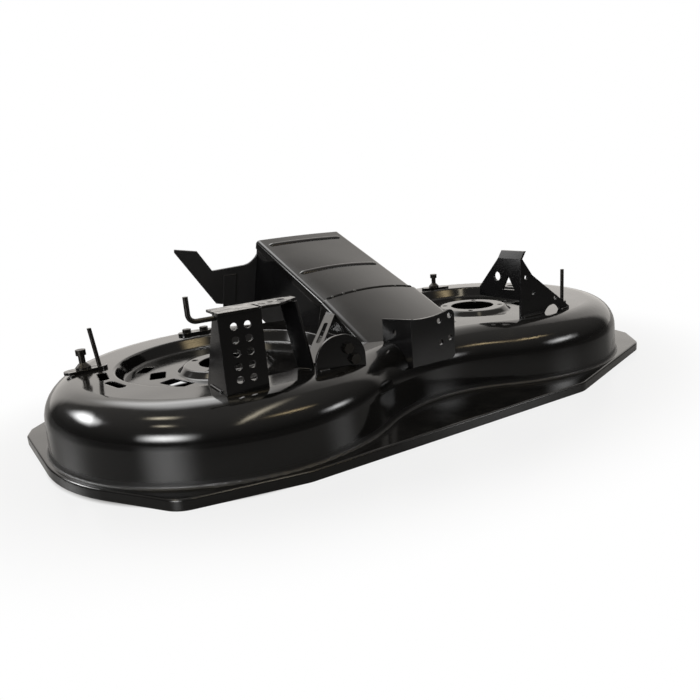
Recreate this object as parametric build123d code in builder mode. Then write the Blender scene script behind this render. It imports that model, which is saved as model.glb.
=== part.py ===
from build123d import *

import os
from math import cos, hypot, radians, sin, sqrt

# A bare twin-blade mower deck of about 102 cm cut: a pressed sheet shell with two blade chambers, an arched
# hood between them that opens into a rear discharge chute, and the brackets, guides and fasteners on top.
# +X runs along the row of the two chambers, +Y to the rear, +Z up, and the rim stands on z = 0.

# Pressed shell
SHEET = 2.5
HALF_SPACING = 255.0
STAGGER = 12.8
WALL_R = 257.0
VALLEY_R = 240.0
DRAFT = 3.0
CROWN_Z = 105.0
SHOULDER_R = 48.0
WALL_FOOT_R = 4.0

# Rim: a narrow flange with a lip turned down to the ground
FLANGE_TOP = 14.0
BEND_R = 3.0
RIM_MARGIN = 8.5
RIM_START_DEG = 183.0
RIM_END_DEG = 214.0
# Corners of the rim by their angle about the nearer chamber and their distance outside its wall
FRONT_CORNERS = ((237.0, 28.0), (268.5, 12.5))
SIDE_CORNERS = ((262.0, 40.5), (317.0, 43.5))
EAR_CORNERS = ((331.4, 49.0), (336.6, 44.0))
RIM_CORNER_R = 40.0
EAR_CORNER_R = 14.0

# Dish in each crown, with a raised seat for the blade spindle
DISH_RIM_R = 157.0
DISH_FLOOR_R = 148.0
DISH_DEPTH = 19.0
DISH_RIM_SOFT_R = 4.0
DISH_SOFT_R = 5.0
BOSS_R = 62.0
BOSS_FOOT_R = 71.0
BOSS_H = 9.0
SPINDLE_R = 40.0
SPINDLE_PCD = 104.0
SPINDLE_HOLES = 4
SPINDLE_HOLE_R = 4.25

# Openings pressed through each dish floor: angle, radius, length, width
DISH_WINDOWS = ((201.0, 91.0, 50.0, 24.0), (164.0, 100.0, 38.0, 22.0), (144.0, 127.0, 34.0, 18.0))
WINDOW_CORNER_R = 4.0
CROWN_SLOT_DEGREES = (176.0, 195.0)
CROWN_SLOT_RADIUS = 173.0
CROWN_SLOT_LENGTH = 46.0
CROWN_SLOT_WIDTH = 12.0

# Hood between the chambers, whose top is the same ramp as the chute's roof, and the throat behind it
RAMP_DEG = 22.9
RAMP_Z = 155.0
HOOD_DEPTH = 56.0
HOOD_NOSE = 40.0
HOOD_OPEN = 1.0
HOOD_GAP = 0.8
THROAT_MARGIN = 11.0
THROAT_LOW_Z = 80.0
THROAT_DEEP = 86.0
THROAT_DEEP_Z = 30.0

# Discharge chute: flat at its mouth, wider and arched where it goes under the hood
PANEL_T = 2.0
ROOF_T = 2.0
ROOF_LIP = 9.0
ROOF_LAP = 14.0
CHUTE_LENGTH = 238.0
CHUTE_H = 150.0
CHUTE_HALF = 86.0
CHUTE_LEAN = 14.0
CHUTE_FLARE = 27.0
MOUTH_ARCH = 1.5
MOUTH_CORNER_R = 7.0
SEAM_ARCH = 11.5
SEAM_SINK_LEFT = 4.0
SEAM_SINK_RIGHT = 10.0
SEAM_CORNER_R = 16.0
OPENING_BEND = 61.0
OPENING_MARGIN = 14.5
BEAD_W = 5.0
BEAD_H = 2.0
BEAD_MARGIN = 18.0
BEAD_PLACES = (213.0, 97.0)

# Wing plate at the left of the chute's mouth
WING_T = 3.0
WING_TOP = -24.0
WING_DIP = (29.0, -45.0)
WING_FOLD = (88.0, -48.0)
WING_RISE = (117.0, -5.0)
WING_TIP = (158.0, 3.0)
WING_TIP_H = 6.0
WING_FOOT = (80.0, -119.0)
WING_BOTTOM = -140.0
WING_PANEL_LEFT = 66.0
WING_PANEL_W = 25.0
WING_PANEL_TOP = -60.0
WING_PANEL_H = 68.0
WING_PANEL_RISE = 1.5

# Brackets
BRACKET_T = 4.0
SEAT_GAP = 0.2

# Right lift bracket: a front plate, a side plate and a top tab in one folded sheet
LIFT_X = 188.0
LIFT_Y = -178.0
LIFT_TOP_Z = 212.0
LIFT_BASE_X = 302.0
LIFT_TOE_H = 3.0
LIFT_KNEE = (214.0, 172.0)
LIFT_SIDE_Y = -83.0
LIFT_SIDE_Z = 134.0
LIFT_SIDE_H = 15.5
LIFT_WINDOW = ((-150.0, 173.0), (-137.0, 149.0), (-164.0, 150.0))
LIFT_TAB_Y = -128.0
LIFT_BEND_Z = 200.0
LIFT_LEAN = 8.0
LIFT_PIVOT = (-125.0, 170.0)
LIFT_PIVOT_R = 7.5
LIFT_ARCH_X = 261.0
LIFT_ARCH_R = 20.0
LIFT_ARCH_DROP = 8.0
LIFT_HOLE_R = 3.5
LIFT_HOLES = ((200.0, 170.0), (216.0, 143.0), (268.0, 127.0))

# Left lift tower: a gusset and a pierced front plate in one folded sheet, under a top plate
TOWER_X = -327.0
TOWER_Y = -215.0
TOWER_W = 54.0
TOWER_TOP_Z = 200.0
TOWER_T = 3.0
GUSSET_TOP = 16.0
GUSSET_FOOT_Y = -146.0
TOWER_HOLE_R = 4.5
TOWER_HOLE_ROWS = 5
TOWER_HOLE_PITCH = 16.0
TOWER_HOLE_COLUMN = 17.0
TOP_PLATE_T = 3.0
TOP_PLATE_W = 110.0
TOP_PLATE_D = 40.0
TOP_PLATE_END_D = 16.0
TOP_PLATE_TAPER = 34.0
TOP_SLIT_W = 3.0
TOP_SLIT_D = 26.0
HOOK_ROD_R = 3.0
HOOK_REACH = 30.0
HOOK_RISE = 29.0
HOOK_BEND_R = 9.0
HOOK_DROP = 3.5
HOOK_Y = -206.0

# Flat bars beside the hood
BRACE_FOOT = (-205.0, -180.0)
BRACE_HEAD = (-228.0, -194.0)
BRACE_W = 24.0
BRACE_T = 4.0
STAY_FOOT = (-194.0, -168.0)
STAY_HEAD = (-64.0, -9.0)
STAY_RISE = 36.0
STAY_W = 16.0
STAY_T = 3.0
STAY_SLOT_W = 6.0
STAY_SLOT_L = 76.0

# Folded bracket and round-topped lug at the front of the hood
FLAG_X = -48.0
FLAG_Y = -200.0
FLAG_W = 78.0
FLAG_LOW_Z = 76.0
FLAG_TOP_Z = 146.0
FLAG_RISE = 7.0
FLAG_SAG = 5.0
FLAG_BACK_Y = -128.0
FLAG_BACK_DROP = 8.0
FLAG_CORNER_R = 9.0
FLAG_HOLE_R = 4.0
FLAG_HOLES = ((2.0, 136.0), (21.0, 141.0), (4.0, 104.0), (21.0, 108.0))
FLAG_SIDE_HOLE = (-158.0, 122.0)
LUG_X = -166.0
LUG_Y = -206.0
LUG_W = 74.0
LUG_TOP_Z = 147.0
LUG_ROUND_R = 34.0
LUG_LOW_Z = 70.0
LUG_HOLES = ((-156.0, 128.0), (-147.0, 112.0))

# Belt guides on the crowns
STRIP_L = 60.0
STRIP_W = 22.0
STRIP_T = 4.0
GUIDE_ROD_R = 3.0
GUIDE_ROD_H = 56.0
GUIDE_ROD_LEAN = 5.0
LEFT_GUIDE = (-441.0, 53.0)
LEFT_GUIDE_TURN = 6.0
RIGHT_GUIDE = (303.0, 184.0)
RIGHT_GUIDE_TURN = -22.0
REAR_GUIDE = (-240.0, 178.0)
REAR_GUIDE_TURN = -4.0
GUIDE_BOLT_STEP = -3.0
GUIDE_ROD_STEP = 19.0
REAR_BOLT_STEP = 15.0
RIGHT_PIN = (331.0, -138.0)
PIN_COLLAR_R = 7.0
PIN_COLLAR_H = 3.0

# Fasteners
SHANK_R = 4.0
HOLE_CLEARANCE = 0.4
NUT_ACROSS = 13.0
NUT_H = 6.5
NUT_CLEARANCE = 0.1
THREAD_SPARE = 3.0
KNOB_FLANGE_R = 10.5
KNOB_FLANGE_H = 3.0
KNOB_CONE_H = 6.0
KNOB_NECK_R = 4.5
KNOB_NECK_H = 11.0
KNOB_HEAD_R = 7.0
KNOB_HEAD_H = 8.0
BOLT_HEAD_H = 5.5

FLANGE_LOW = FLANGE_TOP - SHEET
CROWN_LOW = CROWN_Z - SHEET
DISH_Z = CROWN_Z - DISH_DEPTH
RAMP = radians(RAMP_DEG)
PANEL_OUT = CHUTE_HALF + PANEL_T
HALF_ROW = hypot(HALF_SPACING, STAGGER)
ROW = Vector(HALF_SPACING, STAGGER).normalized()
ACROSS = Vector(-ROW.Y, ROW.X)
CENTRES = (Vector(-HALF_SPACING, -STAGGER), Vector(HALF_SPACING, STAGGER))
VALLEY_Y = sqrt((WALL_R + VALLEY_R) ** 2 - HALF_ROW**2) - VALLEY_R
SHANK_HOLE_R = SHANK_R + HOLE_CLEARANCE


def ramp_point(along, above=0.0):
    """Give y and z of a point measured up the ramp and square to it."""
    return (along * cos(RAMP) - above * sin(RAMP), RAMP_Z + along * sin(RAMP) + above * cos(RAMP))


def ramp_section(along):
    """Give the plane square to the ramp at a distance up it, with x to the right and y off the ramp."""
    return Plane(origin=(0, *ramp_point(along)), x_dir=(1, 0, 0), z_dir=(0, -cos(RAMP), -sin(RAMP)))


def seam_share(along):
    """Give 0 at the chute's mouth and 1 at the front end of its roof, under the hood."""
    return (CHUTE_LENGTH - along) / (CHUTE_LENGTH + ROOF_LAP)


def left_face(along):
    """Give x of the left panel's outer face, which leans to the right from the mouth to the hood."""
    return CHUTE_LEAN * seam_share(along) - PANEL_OUT


def right_face(along):
    """Give x of the right panel's outer face, which leans out from the mouth to the hood."""
    return CHUTE_FLARE * seam_share(along) + PANEL_OUT


def near(points):
    """Give a test for vertices that lie on one of the points."""
    return lambda vertex: any((Vector(*tuple(vertex)) - point).length < 1 for point in points)


def chamber_plan(inset):
    """Draw both chambers and the two valleys between them as four tangent arcs, set in by a distance."""
    lobe = WALL_R - inset
    valley = VALLEY_R + inset
    reach = sqrt((lobe + valley) ** 2 - HALF_ROW**2)
    left, right = CENTRES

    def touch(centre, side):
        return centre + (ACROSS * (side * reach) - centre) * (lobe / (lobe + valley))

    with BuildSketch() as plan:
        with BuildLine():
            ThreePointArc(touch(left, -1), ACROSS * (valley - reach), touch(right, -1))
            ThreePointArc(touch(right, -1), right + ROW * lobe, touch(right, 1))
            ThreePointArc(touch(right, 1), ACROSS * (reach - valley), touch(left, 1))
            ThreePointArc(touch(left, 1), left - ROW * lobe, touch(left, -1))
        make_face()
    return plan.sketch


def rim_plan():
    """Draw the outline of the rim, which looks the same after half a turn."""
    left, right = CENTRES

    def about(centre, angle, margin):
        return centre + Vector(WALL_R + margin, 0).rotate(Axis.Z, angle)

    start, middle, end = (
        about(left, angle, RIM_MARGIN)
        for angle in (RIM_START_DEG, (RIM_START_DEG + RIM_END_DEG) / 2, RIM_END_DEG)
    )
    bends = [about(left, *corner) for corner in FRONT_CORNERS]
    bends += [about(right, *corner) for corner in SIDE_CORNERS]
    ears = [about(right, *corner) for corner in EAR_CORNERS]
    with BuildSketch() as plan:
        with BuildLine():
            ThreePointArc(start, middle, end)
            Polyline(end, *bends, *ears, -start)
            ThreePointArc(-start, -middle, -end)
            Polyline(-end, *[-point for point in bends + ears], start)
        make_face()
        fillet(plan.vertices().filter_by(near(bends + [-point for point in bends])), RIM_CORNER_R)
        fillet(plan.vertices().filter_by(near(ears + [-point for point in ears])), EAR_CORNER_R)
    return plan.sketch


def dish(inset):
    """Turn the space of one crown dish about the spindle axis, grown by a distance."""
    rim_edge = DISH_RIM_R + 2 * DISH_RIM_SOFT_R
    half = [
        (BOSS_R, DISH_Z + BOSS_H),
        (BOSS_FOOT_R, DISH_Z),
        (DISH_FLOOR_R, DISH_Z),
        (DISH_RIM_R, CROWN_Z),
        (rim_edge, CROWN_Z),
        (rim_edge, CROWN_Z + DISH_DEPTH),
    ]
    with BuildPart() as space:
        with BuildSketch(Plane.XZ) as profile:
            with BuildLine():
                Polyline(*half, *[(-r, z) for r, z in reversed(half)], close=True)
            make_face()
            fillet(profile.vertices().filter_by(lambda v: v.Y < CROWN_Z - 1), DISH_SOFT_R)
            rims = [Vector(DISH_RIM_R, CROWN_Z), Vector(-DISH_RIM_R, CROWN_Z)]
            fillet(profile.vertices().filter_by(near(rims)), DISH_RIM_SOFT_R)
            if inset:
                offset(amount=inset)
            with Locations((0, CROWN_Z)):
                Rectangle(2 * rim_edge, 2 * CROWN_Z, align=(Align.MAX, Align.CENTER), mode=Mode.SUBTRACT)
        revolve(axis=Axis.Z)
    return space.part


def arch(along, grow, lip):
    """Draw the section of the chute's roof at a distance up the ramp, grown, with lips of a given depth."""
    seam = seam_share(along)
    left = Vector(left_face(along) - ROOF_T, ROOF_T - SEAM_SINK_LEFT * seam)
    right = Vector(right_face(along) + ROOF_T, ROOF_T - SEAM_SINK_RIGHT * seam)
    crest = (left + right) * 0.5 + Vector(0, MOUTH_ARCH + (SEAM_ARCH - MOUTH_ARCH) * seam)
    corner = MOUTH_CORNER_R + (SEAM_CORNER_R - MOUTH_CORNER_R) * seam
    with BuildSketch() as section:
        with BuildLine():
            ThreePointArc(left, crest, right)
            Polyline(right, right - Vector(0, corner + lip), left - Vector(0, MOUTH_CORNER_R + lip), left)
        make_face()
        fillet(section.vertices().filter_by(near([left])), MOUTH_CORNER_R)
        fillet(section.vertices().filter_by(near([right])), corner)
        if grow:
            offset(amount=grow)
    return section.sketch


def hood(inset):
    """Make the arched ridge that takes the chute's roof, set in by a distance and open at its rear."""
    rear = HOOD_OPEN if inset > 0 else 0.0
    front = (inset + HOOD_NOSE - VALLEY_Y) / cos(RAMP)
    with BuildPart() as ridge:
        with BuildSketch(ramp_section(rear)):
            add(arch(-ROOF_LAP, SHEET + HOOD_GAP - inset, HOOD_DEPTH))
        extrude(amount=rear - front)
    return ridge.part


ramp_plane = Plane(origin=(0, *ramp_point(0)), x_dir=(1, 0, 0), z_dir=(0, -sin(RAMP), cos(RAMP)))
panel_wide = 2 * (PANEL_OUT + CHUTE_FLARE)
left_line = left_face(-ROOF_LAP), left_face(CHUTE_LENGTH)
right_line = right_face(-ROOF_LAP), right_face(CHUTE_LENGTH)


def chute_slice(outline, left, right):
    """Cut a side outline to the chute's plan between two lines, given by x at the hood and at the mouth."""
    with BuildPart() as piece:
        with BuildSketch(Plane.YZ):
            with BuildLine():
                Polyline(*outline, close=True)
            make_face()
        extrude(amount=panel_wide, both=True)
        with BuildSketch(ramp_plane):
            with BuildLine():
                Polyline(
                    (left[0], -ROOF_LAP),
                    (right[0], -ROOF_LAP),
                    (right[1], CHUTE_LENGTH),
                    (left[1], CHUTE_LENGTH),
                    close=True,
                )
            make_face()
        extrude(amount=2 * CHUTE_H, both=True, mode=Mode.INTERSECT)
    return piece.part


def throat(inset):
    """Make the spout below the chute at the rear of the pressing, set in by a distance."""
    rear = VALLEY_Y - THROAT_MARGIN - inset
    outline = [
        (0, THROAT_DEEP_Z),
        (0, CROWN_LOW - inset),
        (rear, CROWN_LOW - inset),
        (rear, THROAT_LOW_Z),
        (VALLEY_Y - THROAT_DEEP, THROAT_DEEP_Z),
    ]
    margin = 2 * PANEL_T + inset
    return chute_slice(outline, [x + margin for x in left_line], [x - margin for x in right_line])


def pressed_body(inset):
    """Make the full body of the pressing, from the flange up, set in by a distance."""
    crown = CROWN_Z - inset
    with BuildPart() as body:
        with BuildSketch(Plane.XY.offset(FLANGE_LOW)):
            add(chamber_plan(inset))
        extrude(amount=crown - FLANGE_LOW, taper=DRAFT)
        fillet(body.faces().sort_by(Axis.Z)[-1].edges(), SHOULDER_R - inset)
        for centre in CENTRES:
            with Locations(centre):
                add(dish(inset), mode=Mode.SUBTRACT)
        add(throat(inset))
        add(hood(inset))
    return body.part


# Deck shell: rim, pressed body, chute opening and holes
seat_body = pressed_body(-SEAT_GAP)
opening_y = VALLEY_Y - OPENING_MARGIN
opening_low = opening_y, ramp_point((opening_y - CHUTE_H * sin(RAMP)) / cos(RAMP), -CHUTE_H)[1]
mouth_top = ramp_point(CHUTE_LENGTH)
mouth_low = ramp_point(CHUTE_LENGTH, -CHUTE_H)
opening_outline = [(0, DISH_Z), (VALLEY_Y - OPENING_BEND, DISH_Z), opening_low, mouth_low]


guide_places = {
    "left": Location((*LEFT_GUIDE, CROWN_Z), (0, 0, LEFT_GUIDE_TURN)),
    "right": Location((*RIGHT_GUIDE, CROWN_Z), (0, 0, RIGHT_GUIDE_TURN)),
    "rear": Location((*REAR_GUIDE, CROWN_Z), (0, 0, REAR_GUIDE_TURN)),
}
bolt_places = {
    "left": [guide_places["left"] * Location((GUIDE_BOLT_STEP, 0, 0))],
    "right": [guide_places["right"] * Location((GUIDE_BOLT_STEP, 0, 0))],
    "rear": [guide_places["rear"] * Location((step, 0, 0)) for step in (-REAR_BOLT_STEP, REAR_BOLT_STEP)],
    "pin": [Location((*RIGHT_PIN, CROWN_Z))],
}
all_bolts = [place for places in bolt_places.values() for place in places]

with BuildPart() as deck_shell:
    with BuildSketch():
        add(rim_plan())
    extrude(amount=FLANGE_TOP)
    fillet(deck_shell.faces().sort_by(Axis.Z)[-1].edges(), BEND_R)
    with BuildSketch():
        add(rim_plan())
        offset(amount=-SHEET)
    extrude(amount=FLANGE_LOW, mode=Mode.SUBTRACT)
    add(pressed_body(0))
    level = deck_shell.faces().filter_by(lambda f: abs(f.center().Z - FLANGE_TOP) < 0.01)
    flange = level.sort_by(SortBy.AREA)[-1]
    fillet(flange.inner_wires()[0].edges(), WALL_FOOT_R)
    add(pressed_body(SHEET), mode=Mode.SUBTRACT)
    whole_outline = [*opening_outline, mouth_top, (0, mouth_top[1])]
    add(chute_slice(whole_outline, left_line, right_line), mode=Mode.SUBTRACT)
    for turn, centre in zip((0, 180), CENTRES):
        with BuildSketch(Plane(Location((centre.X, centre.Y, DISH_Z - 2 * SHEET), (0, 0, turn)))):
            Circle(SPINDLE_R)
            with PolarLocations(SPINDLE_PCD / 2, SPINDLE_HOLES, start_angle=45):
                Circle(SPINDLE_HOLE_R)
            for angle, radius, length, width in DISH_WINDOWS:
                with PolarLocations(radius, 1, start_angle=angle):
                    RectangleRounded(width, length, WINDOW_CORNER_R)
            for angle in CROWN_SLOT_DEGREES:
                with PolarLocations(CROWN_SLOT_RADIUS, 1, start_angle=angle):
                    SlotOverall(CROWN_SLOT_LENGTH, CROWN_SLOT_WIDTH, rotation=90)
        extrude(amount=DISH_DEPTH + 3 * SHEET, mode=Mode.SUBTRACT)
    with Locations(*all_bolts):
        Cylinder(SHANK_HOLE_R, 4 * SHEET, mode=Mode.SUBTRACT)

# Chute: an arched roof with turned-down lips over two side panels, and a floor between them
mouth_plane = ramp_section(CHUTE_LENGTH)
with BuildPart() as chute_roof:
    for along in (CHUTE_LENGTH, -ROOF_LAP):
        with BuildSketch(ramp_section(along)):
            add(arch(along, 0, ROOF_LIP))
    loft(ruled=True)
    for along in BEAD_PLACES:
        with BuildSketch(ramp_section(along + BEAD_W / 2)):
            add(arch(along, BEAD_H, ROOF_LIP))
            bead_right = right_face(along) - BEAD_MARGIN
            with Locations((bead_right, -SEAM_SINK_RIGHT)):
                bead_span = bead_right - left_face(along) - BEAD_MARGIN
                Rectangle(bead_span, CHUTE_H, align=(Align.MAX, Align.MIN), mode=Mode.INTERSECT)
        extrude(amount=BEAD_W)
    for along in (CHUTE_LENGTH, -ROOF_LAP):
        with BuildSketch(ramp_section(along)):
            add(arch(along, -ROOF_T, 2 * ROOF_LIP))
    loft(ruled=True, mode=Mode.SUBTRACT)


def panel_outline(sink, corner):
    """Give the outline of a side panel, whose top runs below the folded corner of the roof."""
    return [
        *opening_outline,
        ramp_point(CHUTE_LENGTH, -MOUTH_CORNER_R),
        ramp_point(-ROOF_LAP, -sink - corner),
        (ramp_point(-ROOF_LAP)[0], CROWN_Z + SHEET),
        (0, CROWN_Z + SHEET),
    ]


left_outline = panel_outline(SEAM_SINK_LEFT, MOUTH_CORNER_R)
right_outline = panel_outline(SEAM_SINK_RIGHT, SEAM_CORNER_R)
chute_side_left = chute_slice(left_outline, left_line, [x + PANEL_T for x in left_line])
chute_side_right = chute_slice(right_outline, [x - PANEL_T for x in right_line], right_line)

with BuildPart() as chute_floor:
    floor_start = CHUTE_LENGTH - (mouth_low[0] - opening_low[0]) / cos(RAMP)
    with BuildSketch(ramp_plane.offset(-CHUTE_H)):
        with BuildLine():
            Polyline(
                (left_face(floor_start) + PANEL_T, floor_start),
                (right_face(floor_start) - PANEL_T, floor_start),
                (right_face(CHUTE_LENGTH) - PANEL_T, CHUTE_LENGTH),
                (left_face(CHUTE_LENGTH) + PANEL_T, CHUTE_LENGTH),
                close=True,
            )
        make_face()
    extrude(amount=PANEL_T)

with BuildPart() as chute_wing:
    with BuildSketch(mouth_plane):
        edge = Vector(-PANEL_OUT, 0)
        top, bottom = edge + Vector(0, WING_TOP), edge + Vector(0, WING_BOTTOM)
        wing_corners = WING_DIP, WING_FOLD, WING_RISE, WING_TIP, WING_FOOT
        dip, fold, rise, tip, foot = (edge + Vector(-across, above) for across, above in wing_corners)
        with BuildLine():
            TangentArc(dip, top, tangent=dip - fold)
            Polyline(dip, fold, rise, tip, tip - Vector(0, WING_TIP_H), foot, bottom, top)
        make_face()
    extrude(amount=WING_T)
    for depth, mode in ((WING_T, Mode.ADD), (0, Mode.SUBTRACT)):
        with BuildSketch(mouth_plane.offset(depth)):
            with Locations(edge + Vector(-WING_PANEL_LEFT, WING_PANEL_TOP)):
                Rectangle(WING_PANEL_W, WING_PANEL_H, align=(Align.MIN, Align.MAX))
        extrude(amount=WING_PANEL_RISE, mode=mode)

# Right lift bracket
with BuildPart() as lift_bracket_right:
    with BuildSketch(Plane.XZ.offset(-LIFT_Y)):
        with BuildLine():
            Polyline(
                (LIFT_X, CROWN_Z),
                (LIFT_BASE_X, CROWN_Z),
                (LIFT_BASE_X, CROWN_Z + LIFT_TOE_H),
                LIFT_KNEE,
                (LIFT_X + BRACKET_T, LIFT_BEND_Z),
                (LIFT_X, LIFT_BEND_Z),
                close=True,
            )
        make_face()
        with Locations((LIFT_ARCH_X, CROWN_Z - LIFT_ARCH_DROP)):
            Circle(LIFT_ARCH_R, mode=Mode.SUBTRACT)
        with Locations(*LIFT_HOLES):
            Circle(LIFT_HOLE_R, mode=Mode.SUBTRACT)
    extrude(amount=-BRACKET_T)
    with BuildSketch(Plane.YZ.offset(LIFT_X)):
        with BuildLine():
            Polyline(
                (LIFT_Y, LIFT_SIDE_Z),
                (LIFT_SIDE_Y, LIFT_SIDE_Z),
                (LIFT_SIDE_Y, LIFT_SIDE_Z + LIFT_SIDE_H),
                (LIFT_TAB_Y, LIFT_BEND_Z),
                (LIFT_Y, LIFT_BEND_Z),
                close=True,
            )
        make_face()
        with Locations(LIFT_PIVOT):
            Circle(LIFT_PIVOT_R, mode=Mode.SUBTRACT)
        with BuildLine():
            Polyline(*LIFT_WINDOW, close=True)
        make_face(mode=Mode.SUBTRACT)
    extrude(amount=BRACKET_T)
    with BuildSketch(Plane.XZ.offset(-LIFT_Y)):
        with BuildLine():
            Polyline(
                (LIFT_X, LIFT_BEND_Z),
                (LIFT_X + BRACKET_T, LIFT_BEND_Z),
                (LIFT_X + BRACKET_T + LIFT_LEAN, LIFT_TOP_Z),
                (LIFT_X + LIFT_LEAN, LIFT_TOP_Z),
                close=True,
            )
        make_face()
    extrude(amount=LIFT_Y - LIFT_TAB_Y)

# Left lift tower with its top plate, hook rod and brace
with BuildPart() as tower_bracket:
    with BuildSketch(Plane.YZ.offset(TOWER_X)):
        with BuildLine():
            Polyline(
                (TOWER_Y, CROWN_LOW),
                (TOWER_Y, TOWER_TOP_Z),
                (TOWER_Y + GUSSET_TOP, TOWER_TOP_Z),
                (GUSSET_FOOT_Y, CROWN_Z),
                (GUSSET_FOOT_Y, CROWN_LOW),
                close=True,
            )
        make_face()
    extrude(amount=TOWER_T)
    with BuildSketch(Plane.XZ.offset(-TOWER_Y)):
        with Locations((TOWER_X, CROWN_LOW)):
            Rectangle(TOWER_W, TOWER_TOP_Z - CROWN_LOW, align=(Align.MIN, Align.MIN))
        with Locations((TOWER_X + TOWER_W / 2, (CROWN_Z + TOWER_TOP_Z) / 2)):
            with GridLocations(TOWER_HOLE_COLUMN, TOWER_HOLE_PITCH, 2, TOWER_HOLE_ROWS):
                Circle(TOWER_HOLE_R, mode=Mode.SUBTRACT)
    extrude(amount=-TOWER_T)
    add(seat_body, mode=Mode.SUBTRACT)

plate_front = TOWER_Y - TOWER_T
with BuildPart() as tower_top_plate:
    with BuildSketch(Plane.XY.offset(TOWER_TOP_Z)):
        with BuildLine():
            Polyline(
                (TOWER_X, plate_front),
                (TOWER_X + TOP_PLATE_W - TOP_PLATE_TAPER, plate_front),
                (TOWER_X + TOP_PLATE_W, plate_front + TOP_PLATE_D - TOP_PLATE_END_D),
                (TOWER_X + TOP_PLATE_W, plate_front + TOP_PLATE_D),
                (TOWER_X, plate_front + TOP_PLATE_D),
                close=True,
            )
        make_face()
        with Locations((TOWER_X + TOWER_W - TOP_SLIT_W, plate_front)):
            Rectangle(TOP_SLIT_W, TOP_SLIT_D, align=(Align.MIN, Align.MIN), mode=Mode.SUBTRACT)
    extrude(amount=TOP_PLATE_T)

with BuildPart() as tower_hook_rod:
    hook_z = TOWER_TOP_Z - HOOK_DROP
    with BuildLine() as hook_path:
        FilletPolyline(
            (TOWER_X, HOOK_Y, hook_z),
            (TOWER_X - HOOK_REACH, HOOK_Y, hook_z),
            (TOWER_X - HOOK_REACH, HOOK_Y, hook_z + HOOK_RISE),
            radius=HOOK_BEND_R,
        )
    with BuildSketch(Plane(origin=hook_path.line @ 0, z_dir=hook_path.line % 0)):
        Circle(HOOK_ROD_R)
    sweep()


brace_foot = Vector(*BRACE_FOOT, CROWN_Z)
brace_head = Vector(*BRACE_HEAD, TOWER_TOP_Z)
brace_lean = brace_head - brace_foot
brace_across = Vector(-brace_lean.Y, brace_lean.X).normalized()
with BuildPart() as tower_brace:
    for end in (brace_foot, brace_head):
        with BuildSketch(Plane(origin=end, x_dir=brace_across, z_dir=(0, 0, 1))):
            Rectangle(BRACE_W, BRACE_T * brace_lean.length / (brace_head.Z - brace_foot.Z))
    loft()

# Slotted stay from the crown to the hood
stay_foot = Vector(*STAY_FOOT, CROWN_Z)
stay_head = Vector(*STAY_HEAD, CROWN_Z + STAY_RISE)
stay_plane = Plane(
    origin=(stay_foot + stay_head) * 0.5,
    x_dir=stay_head - stay_foot,
    z_dir=(stay_head - stay_foot).cross(Vector(0, 0, 1)).cross(stay_head - stay_foot),
)
with BuildPart() as hood_stay:
    with BuildSketch(stay_plane):
        Rectangle((stay_head - stay_foot).length, STAY_W)
        SlotOverall(STAY_SLOT_L, STAY_SLOT_W, mode=Mode.SUBTRACT)
    extrude(amount=STAY_T)
    add(seat_body, mode=Mode.SUBTRACT)

# Folded bracket and lug at the front
with BuildPart() as centre_bracket:
    with BuildSketch(Plane.XZ.offset(-FLAG_Y)) as flag_face:
        top_left = Vector(FLAG_X, FLAG_TOP_Z)
        top_right = Vector(FLAG_X + FLAG_W, FLAG_TOP_Z + FLAG_RISE)
        low_right = Vector(FLAG_X + FLAG_W, FLAG_LOW_Z)
        with BuildLine():
            ThreePointArc(top_left, (top_left + top_right) * 0.5 - Vector(0, FLAG_SAG), top_right)
            Polyline(top_right, low_right, (FLAG_X, FLAG_LOW_Z), top_left)
        make_face()
        fillet(flag_face.vertices().filter_by(near([top_right, low_right])), FLAG_CORNER_R)
        with Locations(*FLAG_HOLES):
            Circle(FLAG_HOLE_R, mode=Mode.SUBTRACT)
    extrude(amount=-BRACKET_T)
    with BuildSketch(Plane.YZ.offset(FLAG_X)):
        with BuildLine():
            Polyline(
                (FLAG_Y, FLAG_LOW_Z),
                (FLAG_Y, FLAG_TOP_Z),
                (FLAG_BACK_Y, FLAG_TOP_Z - FLAG_BACK_DROP),
                (FLAG_BACK_Y, FLAG_LOW_Z),
                close=True,
            )
        make_face()
        with Locations(FLAG_SIDE_HOLE):
            Circle(FLAG_HOLE_R, mode=Mode.SUBTRACT)
    extrude(amount=BRACKET_T)
    add(seat_body, mode=Mode.SUBTRACT)

with BuildPart() as hood_lug:
    with BuildSketch(Plane.XZ.offset(-LUG_Y)) as lug_face:
        with Locations((LUG_X, LUG_LOW_Z)):
            Rectangle(LUG_W, LUG_TOP_Z - LUG_LOW_Z, align=(Align.CENTER, Align.MIN))
        fillet(lug_face.vertices().sort_by(Axis.Y)[-2:], LUG_ROUND_R)
        with Locations(*LUG_HOLES):
            Circle(SHANK_HOLE_R, mode=Mode.SUBTRACT)
    extrude(amount=-BRACKET_T)
    add(seat_body, mode=Mode.SUBTRACT)

with BuildPart() as lug_bolts:
    with BuildSketch(Plane.XZ.offset(-LUG_Y)):
        with Locations(*LUG_HOLES):
            RegularPolygon(NUT_ACROSS / 2, 6, major_radius=False)
    extrude(amount=BOLT_HEAD_H)
    with BuildSketch(Plane.XZ.offset(-LUG_Y)):
        with Locations(*LUG_HOLES):
            Circle(SHANK_R)
    extrude(amount=-(BRACKET_T + NUT_H + THREAD_SPARE))

with BuildPart() as lug_nuts:
    with BuildSketch(Plane.XZ.offset(-LUG_Y - BRACKET_T)):
        with Locations(*LUG_HOLES):
            RegularPolygon(NUT_ACROSS / 2, 6, major_radius=False)
            Circle(SHANK_R + NUT_CLEARANCE, mode=Mode.SUBTRACT)
    extrude(amount=-NUT_H)


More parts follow.
